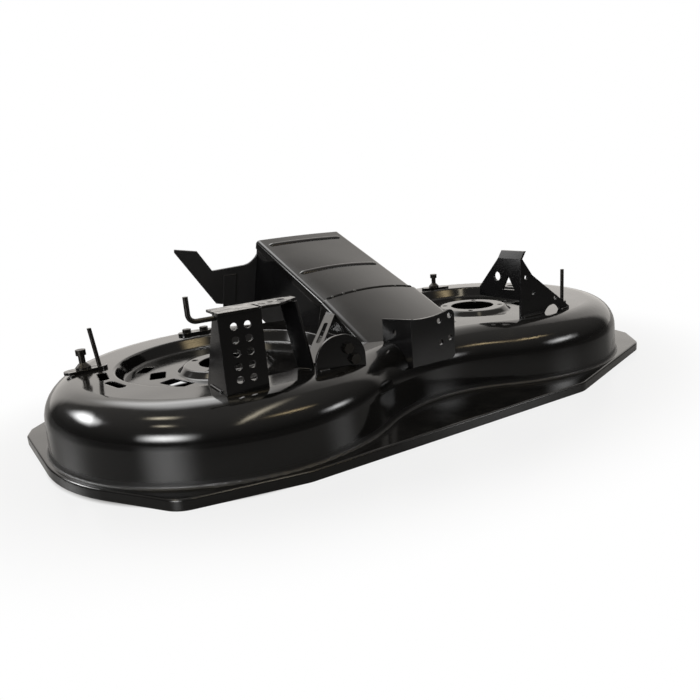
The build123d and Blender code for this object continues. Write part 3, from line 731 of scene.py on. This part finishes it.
@dataclass
class Studio:
    """Floor, backdrop light, lamps and the camera.

    Args:
        eye: place of the camera, in metres.
        yaw: degrees that it looks to the right.
        pitch: degrees that it looks down.
        roll: degrees that it leans.
        focal_px: its focal length in pixels of the photograph.
        frame_px: side of the photograph, in pixels.
        sensor_mm: width of its sensor.
        near: nearest distance that it sees, in metres.
        floor_size: side of the floor, in metres.
        room: brightness of the room at the level.
        ceiling: brightness of the room overhead.
        room_span: upward share of the way at which the room is at its level, and overhead.
        backdrop: brightness of the backdrop.
        backdrop_way: the way to the middle of the backdrop.
        backdrop_edge: likeness to that way at which the backdrop starts, and is full.
        backdrop_top: upward share of the way at which the backdrop starts to dim, and is dimmest.
        backdrop_dim: brightness of its top over that of its foot.
        wall_colour: sRGB hex code of walls and backdrop.
        lamps: the lamps.
    """

    eye: tuple[float, float, float] = (-0.546, -0.883, 0.322)
    yaw: float = 30.18
    pitch: float = 14.16
    roll: float = -4.56
    focal_px: float = 619.1
    frame_px: float = 700.0
    sensor_mm: float = 36.0
    near: float = 0.01
    floor_size: float = 14.0
    room: float = 0.06
    ceiling: float = 0.44
    room_span: tuple[float, float] = (0.1, 0.95)
    backdrop: float = 1.15
    backdrop_way: tuple[float, float, float] = (0.545, 0.839, 0.0)
    backdrop_edge: tuple[float, float] = (0.50, 0.68)
    backdrop_top: tuple[float, float] = (0.62, 0.97)
    backdrop_dim: float = 0.4
    wall_colour: str = "#fffaf4"
    lamps: list[SoftBox | CeilingTube] = field(
        default_factory=lambda: [
            SoftBox("rear_softbox", (1.9, 2.3), 4.2, core=0.12, spot=DISHES, bearing=176.0, height=52.0),
            SoftBox("left_softbox", (1.8, 1.0), 24.0, spot=LEFT_LOBE, bearing=-60.0, height=17.0),
            SoftBox("left_rear_softbox", (1.5, 0.9), 24.0, spot=LEFT_END, bearing=-130.0, height=28.0),
            SoftBox(
                "right_softbox", (0.7, 0.3), 11.0, spot=RIGHT_LOBE, bearing=33.0, height=19.0, reach=1.0
            ),
            CeilingTube("tube_left_near", (0.85, 0.5), 11.0, WARM, middle=(-1.44, 0.0), way=-58.0),
            CeilingTube("tube_left_far", (0.75, 0.5), 11.0, WARM, middle=(-2.2, -0.78), way=-57.0),
            CeilingTube("tube_front", (3.4, 0.36), 10.0, WARM, middle=(-0.3, -1.6), way=56.0),
            CeilingTube("tube_ahead", (2.0, 0.4), 12.0, AMBER, middle=(0.7, -2.3), way=5.0),
        ]
    )

    def lay_floor(self) -> bpy.types.Object:
        """Return the floor the deck stands on."""
        bpy.ops.object.select_all(action="DESELECT")
        bpy.ops.mesh.primitive_plane_add(size=self.floor_size, location=(0.0, 0.0, 0.0))
        floor = bpy.context.object
        floor.name = "studio_floor"
        floor.data.materials.append(SweepPaper().build())
        return floor

    def backdrop_glow(
        self, tree: bpy.types.NodeTree, way: bpy.types.NodeSocket, high: bpy.types.NodeSocket
    ) -> bpy.types.NodeSocket:
        """Hang the white backdrop behind the deck.

        Args:
            tree: the world's node tree.
            way: the way that is looked.
            high: its upward share.

        Returns:
            The brightness of the backdrop, and nought beside it.
        """
        flat = add_node(tree, "ShaderNodeMapping", {"Vector": way, "Scale": (1.0, 1.0, 0.0)})
        level = add_node(tree, "ShaderNodeVectorMath", {0: flat.outputs["Vector"]}, operation="NORMALIZE")
        behind = add_node(
            tree,
            "ShaderNodeVectorMath",
            {0: level.outputs["Vector"], 1: self.backdrop_way},
            operation="DOT_PRODUCT",
        ).outputs["Value"]
        sheet = add_node(
            tree,
            "ShaderNodeMapRange",
            {
                "Value": behind,
                "From Min": self.backdrop_edge[0],
                "From Max": self.backdrop_edge[1],
                "To Max": self.backdrop,
            },
            interpolation_type="SMOOTHSTEP",
        ).outputs["Result"]
        fall = add_node(
            tree,
            "ShaderNodeMapRange",
            {
                "Value": high,
                "From Min": self.backdrop_top[0],
                "From Max": self.backdrop_top[1],
                "To Min": 1.0,
                "To Max": self.backdrop_dim,
            },
        ).outputs["Result"]
        return add_node(tree, "ShaderNodeMath", {0: sheet, 1: fall}, operation="MULTIPLY").outputs["Value"]

    def light_room(self) -> None:
        """Set a white backdrop behind the deck, a grey ceiling and a dark room in front."""
        world = bpy.data.worlds.new("studio_room")
        bpy.context.scene.world = world
        world.use_nodes = True
        tree = world.node_tree
        tree.nodes.clear()
        way = add_node(tree, "ShaderNodeTexCoord").outputs["Generated"]
        high = add_node(tree, "ShaderNodeSeparateXYZ", {"Vector": way}).outputs["Z"]
        dim = add_node(
            tree,
            "ShaderNodeMapRange",
            {
                "Value": high,
                "From Min": self.room_span[0],
                "From Max": self.room_span[1],
                "To Min": self.room,
                "To Max": self.ceiling,
            },
        ).outputs["Result"]
        glow = add_node(
            tree, "ShaderNodeMath", {0: dim, 1: self.backdrop_glow(tree, way, high)}, operation="MAXIMUM"
        ).outputs["Value"]
        seen = add_node(tree, "ShaderNodeLightPath").outputs["Is Camera Ray"]
        strength = add_node(tree, "ShaderNodeMix", {"Factor": seen, "A": glow, "B": 1.0}, data_type="FLOAT")
        tint = add_node(
            tree,
            "ShaderNodeMix",
            {"Factor": seen, "A": linear(self.wall_colour), "B": (1.0, 1.0, 1.0, 1.0)},
            data_type="RGBA",
        )
        sky = add_node(
            tree,
            "ShaderNodeBackground",
            {"Color": tint.outputs["Result"], "Strength": strength.outputs["Result"]},
        )
        add_node(tree, "ShaderNodeOutputWorld", {"Surface": sky.outputs["Background"]})

    def set_camera(self) -> bpy.types.Object:
        """Return the camera, at the photograph's place and angle."""
        yaw, pitch, roll = (math.radians(a) for a in (self.yaw, self.pitch, self.roll))
        ahead = Vector((math.sin(yaw) * math.cos(pitch), math.cos(yaw) * math.cos(pitch), -math.sin(pitch)))
        side = Vector((math.cos(yaw), -math.sin(yaw), 0.0))
        top = side.cross(ahead)
        right = math.cos(roll) * side + math.sin(roll) * top
        upward = math.cos(roll) * top - math.sin(roll) * side
        bpy.ops.object.camera_add()
        camera = bpy.context.object
        camera.name = "photo_camera"
        turn = Matrix((right, upward, -ahead)).transposed().to_4x4()
        camera.matrix_world = Matrix.Translation(self.eye) @ turn
        camera.data.sensor_width = self.sensor_mm
        camera.data.lens = self.focal_px / self.frame_px * self.sensor_mm
        camera.data.clip_start = self.near
        bpy.context.scene.camera = camera
        return camera

    def build(self) -> None:
        """Set the whole studio."""
        self.lay_floor()
        self.light_room()
        for lamp in self.lamps:
            lamp.hang()
            LOG.info("lamp %s", lamp.name)
        self.set_camera()
        bpy.context.scene.view_settings.view_transform = "Standard"


@dataclass
class DeckSheetwork:
    """The finishes of the CAD pieces; a piece that is on no list is a folded sheet in satin enamel.

    Args:
        pressed: the pressing and the chute's sheets, in gloss enamel.
        bent: bars and plates bent by hand, in wavy enamel.
        dust_and_painted_light: the wing, in dull and dusty enamel whose lighter grey film is painted light.
        turned: rods and fasteners, in blackened steel.
    """

    pressed: tuple[str, ...] = (
        "deck_shell",
        "chute_roof",
        "chute_floor",
    )
    bent: tuple[str, ...] = (
        "tower_top_plate",
        "guide_strip_left",
        "guide_strip_right",
        "guide_strip_rear",
    )
    dust_and_painted_light: tuple[str, ...] = ("chute_wing",)
    turned: tuple[str, ...] = (
        "tower_hook_rod",
        "lug_bolts",
        "lug_nuts",
        "guide_rod_left",
        "guide_bolt_left",
        "guide_bolt_right",
        "guide_pin_right",
        "rear_bolts",
        "guide_nuts",
    )

    def finish_of(self, name: str) -> Finish:
        """Choose a CAD node's finish.

        Args:
            name: the node's name.

        Returns:
            The node's finish.
        """
        choices = (
            (self.turned, Finish.STEEL),
            (self.pressed, Finish.GLOSS),
            (self.bent, Finish.BENT),
            (self.dust_and_painted_light, Finish.DULL),
        )
        return next((finish for names, finish in choices if name in names), Finish.SATIN)

    def dress(self, finishes: dict[Finish, bpy.types.Material]) -> None:
        """Give every CAD node its finish.

        Args:
            finishes: the materials by finish.
        """
        for name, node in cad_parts.items():
            material = finishes[self.finish_of(name)]
            node.data.materials.clear()
            node.data.materials.append(material)
            LOG.info("%s in %s", name, material.name)


def add_ring(
    name: str, place: Vector, ahead: Vector, upward: Vector, size: tuple[float, float], sides: int
) -> bpy.types.Object:
    """Start a piece from a filled ring, left selected in edit mode.

    Args:
        name: the piece's name.
        place: the ring's middle, in metres.
        ahead: the way in which the ring will be drawn out.
        upward: the way of the ring's height, square to ahead.
        size: half the ring's width and half its height, in metres.
        sides: the number of its sides.

    Returns:
        The new object.
    """
    turn = Matrix((upward.cross(ahead), upward, ahead)).transposed()
    bpy.ops.object.select_all(action="DESELECT")
    bpy.ops.mesh.primitive_circle_add(
        vertices=sides, radius=size[0], fill_type="NGON", location=place, rotation=turn.to_euler()
    )
    piece = bpy.context.object
    piece.name = name
    piece.scale.y = size[1] / size[0]
    bpy.ops.object.transform_apply(location=True, rotation=True, scale=True)
    bpy.ops.object.mode_set(mode="EDIT")
    bpy.ops.mesh.select_all(action="SELECT")
    return piece


def draw_out(place: Vector, step: Vector, grow: float) -> Vector:
    """Extrude the selected end of a piece and change its size.

    Args:
        place: the middle of the end.
        step: how far to draw it.
        grow: the new size over the old one.

    Returns:
        The middle of the new end.
    """
    bpy.ops.mesh.extrude_region_move(TRANSFORM_OT_translate={"value": step})
    bpy.ops.transform.resize(value=(grow, grow, grow), center_override=place + step)
    return place + step


def close_piece(piece: bpy.types.Object, material: bpy.types.Material) -> None:
    """Leave edit mode and give a new piece its normals, finish and body.

    Args:
        piece: the new object.
        material: its finish.
    """
    bpy.ops.mesh.select_all(action="SELECT")
    bpy.ops.mesh.normals_make_consistent(inside=False)
    bpy.ops.object.mode_set(mode="OBJECT")
    bpy.ops.object.shade_smooth_by_angle(angle=SMOOTH_ANGLE)
    piece.data.materials.append(material)
    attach(piece, "root")
    LOG.info("%s made", piece.name)


@dataclass
class Ramp:
    """The slope of the chute's roof and hood, seen along it as a distance up and a height off.

    Args:
        foot: height of the slope over the middle of the deck, in millimetres.
        slope: degrees of the slope.
    """

    foot: float = 155.0
    slope: float = 22.9

    @property
    def way(self) -> Vector:
        """Return the way up the slope."""
        return Vector((0.0, math.cos(math.radians(self.slope)), math.sin(math.radians(self.slope))))

    @property
    def off(self) -> Vector:
        """Return the way off the slope."""
        return Vector((0.0, -math.sin(math.radians(self.slope)), math.cos(math.radians(self.slope))))

    def place(self, x: float, along: float, above: float) -> Vector:
        """Turn a place on the slope into metres.

        Args:
            x: millimetres to the right.
            along: millimetres up the slope.
            above: millimetres off the slope.

        Returns:
            The place in the shared frame.
        """
        flat = Vector((x, 0.0, self.foot)) + self.way * along + self.off * above
        return flat * MM


@dataclass
class ArchedBead:
    """A round bead across the chute's arched roof, tapered at both ends, with its sizes in millimetres.

    Args:
        name: the piece's name.
        along: its middle line, as a distance up the slope.
        arch: left end, crest and right end of the roof's arch there, each x and height off the slope.
        lift: how far the middle of its section lies above the roof; below it is negative.
        span: x of its left and right end.
        section: half the width and half the height of its section.
        taper: length of its tapered ends.
        tip: size of its ends over that of its section.
        sides: the number of sides of its section.
        steps: the number of steps along its arch.
        ramp: the slope that it lies on.
    """

    name: str
    along: float
    arch: tuple[tuple[float, float], tuple[float, float], tuple[float, float]]
    lift: float
    span: tuple[float, float]
    section: tuple[float, float]
    taper: float = 6.0
    tip: float = 0.35
    sides: int = 14
    steps: int = 28
    ramp: Ramp = field(default_factory=Ramp)

    def circle(self) -> tuple[float, float, float]:
        """Return x and height of the arch's middle, and the arch's radius."""
        (ax, ay), (bx, by), (cx, cy) = self.arch
        twice = 2 * (ax * (by - cy) + bx * (cy - ay) + cx * (ay - by))
        a2, b2, c2 = ax * ax + ay * ay, bx * bx + by * by, cx * cx + cy * cy
        x = (a2 * (by - cy) + b2 * (cy - ay) + c2 * (ay - by)) / twice
        y = (a2 * (cx - bx) + b2 * (ax - cx) + c2 * (bx - ax)) / twice
        return x, y, math.hypot(ax - x, ay - y)

    def build(self, material: bpy.types.Material) -> None:
        """Draw the bead from its left end to its right end.

        Args:
            material: its finish.
        """
        x, y, radius = self.circle()
        first, last = (math.asin((end - x) / radius) for end in self.span)
        spokes = [Vector((math.sin(a), 0.0, 0.0)) + self.ramp.off * math.cos(a) for a in (first, last)]
        ways = [Vector((math.cos(a), 0.0, 0.0)) - self.ramp.off * math.sin(a) for a in (first, last)]
        hub = self.ramp.place(x, self.along, y)
        reach = (radius + self.lift) * MM
        lead = ways[0] * self.taper * MM
        place = hub + spokes[0] * reach - lead
        size = (self.section[0] * MM * self.tip, self.section[1] * MM * self.tip)
        piece = add_ring(self.name, place, ways[0], spokes[0], size, self.sides)
        draw_out(place, lead, 1 / self.tip)
        bpy.ops.mesh.spin(steps=self.steps, angle=first - last, center=hub, axis=self.ramp.way)
        draw_out(hub + spokes[1] * reach, ways[1] * self.taper * MM, self.tip)
        close_piece(piece, material)


@dataclass
class ChuteSeams:
    """The beads across the chute's roof, and the tacked joint where it meets the hood, with a dark bead of
    painted shadow along it.

    Args:
        beads: the beads pressed across the roof.
        joint: the dark bead of painted shadow in the joint.
        tacks: x of each short weld across the joint, in millimetres.
        tack_size: half the width and half the height of a weld at its ends, in millimetres.
        tack_length: its length, in millimetres.
        tack_steps: growth and share of the length of each step along it.
        tack_sides: the number of its sides.
    """

    beads: list[ArchedBead] = field(
        default_factory=lambda: [
            ArchedBead(
                "roof_bead_upper",
                along=213.0,
                arch=((-88.6, 1.6), (2.04, 3.8), (92.7, 1.0)),
                lift=-1.9,
                span=(-70.0, 74.0),
                section=(6.4, 4.6),
            ),
            ArchedBead(
                "roof_bead_lower",
                along=97.0,
                arch=((-82.2, -0.24), (11.5, 5.18), (105.1, -3.6)),
                lift=-1.9,
                span=(-64.0, 87.0),
                section=(6.4, 4.6),
            ),
        ]
    )
    # A dark bead along the joint paints the shadow of the gap where the roof laps the hood.
    joint: ArchedBead = field(
        default_factory=lambda: ArchedBead(
            "hood_joint_painted_shadow",
            along=0.8,
            arch=((-76.0, -2.0), (20.5, 6.5), (117.0, -8.0)),
            lift=2.3,
            span=(-66.0, 101.0),
            section=(3.0, 2.4),
            taper=3.0,
        )
    )
    tacks: tuple[float, ...] = (-58.0, -38.0, -16.0, 66.0, 92.0)
    tack_size: tuple[float, float] = (1.7, 1.45)
    tack_length: float = 7.0
    tack_steps: tuple[tuple[float, float], ...] = ((1.6, 0.2), (1.25, 0.3), (0.8, 0.3), (0.625, 0.2))
    tack_sides: int = 12

    def tack(self, number: int, x: float, material: bpy.types.Material) -> None:
        """Draw one short weld up the slope across the joint.

        Args:
            number: its number in the row.
            x: its place along the joint, in millimetres.
            material: its finish.
        """
        ramp = self.joint.ramp
        hub_x, hub_y, radius = self.joint.circle()
        lean = math.asin((x - hub_x) / radius)
        height = hub_y + (radius + self.joint.lift) * math.cos(lean)
        upward = Vector((math.sin(lean), 0.0, 0.0)) + ramp.off * math.cos(lean)
        place = ramp.place(x, self.joint.along - self.tack_length / 2, height)
        size = (self.tack_size[0] * MM, self.tack_size[1] * MM)
        piece = add_ring(f"joint_tack_{number}", place, ramp.way, upward, size, self.tack_sides)
        for grow, share in self.tack_steps:
            place = draw_out(place, ramp.way * self.tack_length * share * MM, grow)
        close_piece(piece, material)

    def build(self, finishes: dict[Finish, bpy.types.Material]) -> None:
        """Make the beads, the joint's dark bead of painted shadow, and its tacks.

        Args:
            finishes: the materials by finish.
        """
        for bead in self.beads:
            bead.build(finishes[Finish.GLOSS])
        # The joint's dark bead is a painted shadow.
        self.joint.build(finishes[Finish.SEALER])
        for number, x in enumerate(self.tacks, 1):
            self.tack(number, x, finishes[Finish.GLOSS])


@dataclass
class WeldRun:
    """A rippled weld bead along the foot of a bracket, with its sizes in millimetres.

    Args:
        name: the piece's name.
        start: where it begins.
        end: where it stops.
        size: half its width.
        pitch: length of one ripple.
        sides: the number of sides of its section.
        tip: size of its first end over that of the bead.
        rise: length of its first end over that of a ripple.
        neck: size between two ripples over that of the bead.
        neck_at: where that is along a ripple.
        crater: length and size of its last end, over those of a ripple.
        fewest: the fewest ripples.
    """

    name: str
    start: tuple[float, float, float]
    end: tuple[float, float, float]
    size: float = 2.3
    pitch: float = 2.6
    sides: int = 10
    tip: float = 0.55
    rise: float = 0.4
    neck: float = 0.86
    neck_at: float = 0.35
    crater: tuple[float, float] = (0.6, 0.5)
    fewest: int = 3

    def build(self, material: bpy.types.Material) -> None:
        """Draw the bead out of a ring, ripple by ripple.

        Args:
            material: its finish.
        """
        place = Vector(self.start) * MM
        run = Vector(self.end) * MM - place
        ripples = max(self.fewest, round(run.length / (self.pitch * MM)))
        step = run / ripples
        ahead = run.normalized()
        upward = ahead.orthogonal().normalized()
        half = self.size * MM * self.tip
        piece = add_ring(self.name, place, ahead, upward, (half, half), self.sides)
        place = draw_out(place, step * self.rise, 1 / self.tip)
        for _ in range(ripples - 1):
            place = draw_out(place, step * self.neck_at, self.neck)
            place = draw_out(place, step * (1 - self.neck_at), 1 / self.neck)
        draw_out(place, step * self.crater[0], self.crater[1])
        close_piece(piece, material)


@dataclass
class BracketWelds:
    """The welds that hold the folded brackets, bars and lug on the crowns.

    Args:
        runs: the welds.
    """

    runs: list[WeldRun] = field(
        default_factory=lambda: [
            WeldRun("tower_weld_left", (-327.3, -160.0, 105.4), (-327.3, -198.0, 105.4)),
            WeldRun("tower_weld_front", (-318.0, -215.2, 102.8), (-282.0, -215.2, 102.8)),
            WeldRun("lift_weld_left", (193.0, -178.4, 105.4), (236.0, -178.4, 105.4)),
            WeldRun("lift_weld_right", (282.0, -178.4, 105.4), (299.0, -178.4, 105.4)),
            WeldRun("lug_weld", (-200.0, -206.4, 105.4), (-184.0, -206.4, 105.2)),
            WeldRun("brace_weld", (-212.4, -172.6, 105.3), (-201.6, -190.3, 105.3), 1.9),
            WeldRun("stay_weld", (-189.5, -172.9, 105.6), (-199.2, -164.9, 105.6), 1.7),
        ]
    )

    def build(self, material: bpy.types.Material) -> None:
        """Make every weld.

        Args:
            material: their finish.
        """
        for run in self.runs:
            run.build(material)


def main() -> None:
    """Build the studio and dress the deck, in order."""
    logging.basicConfig(level=logging.INFO, format="%(name)s: %(message)s")
    finishes = {
        Finish.GLOSS: GlossEnamel().build(),
        Finish.SATIN: GlossEnamel.satin().build(),
        Finish.BENT: GlossEnamel.bent().build(),
        Finish.DULL: GlossEnamel.panel().build(),
        # The dark bead in the chute's joint is a painted shadow.
        Finish.SEALER: PaintedJointShadow().build(),
        Finish.STEEL: BlackenedSteel().build(),
    }
    DeckSheetwork().dress(finishes)
    ChuteSeams().build(finishes)
    BracketWelds().build(finishes[Finish.GLOSS])
    Studio().build()


if __name__ == "__main__":
    main()
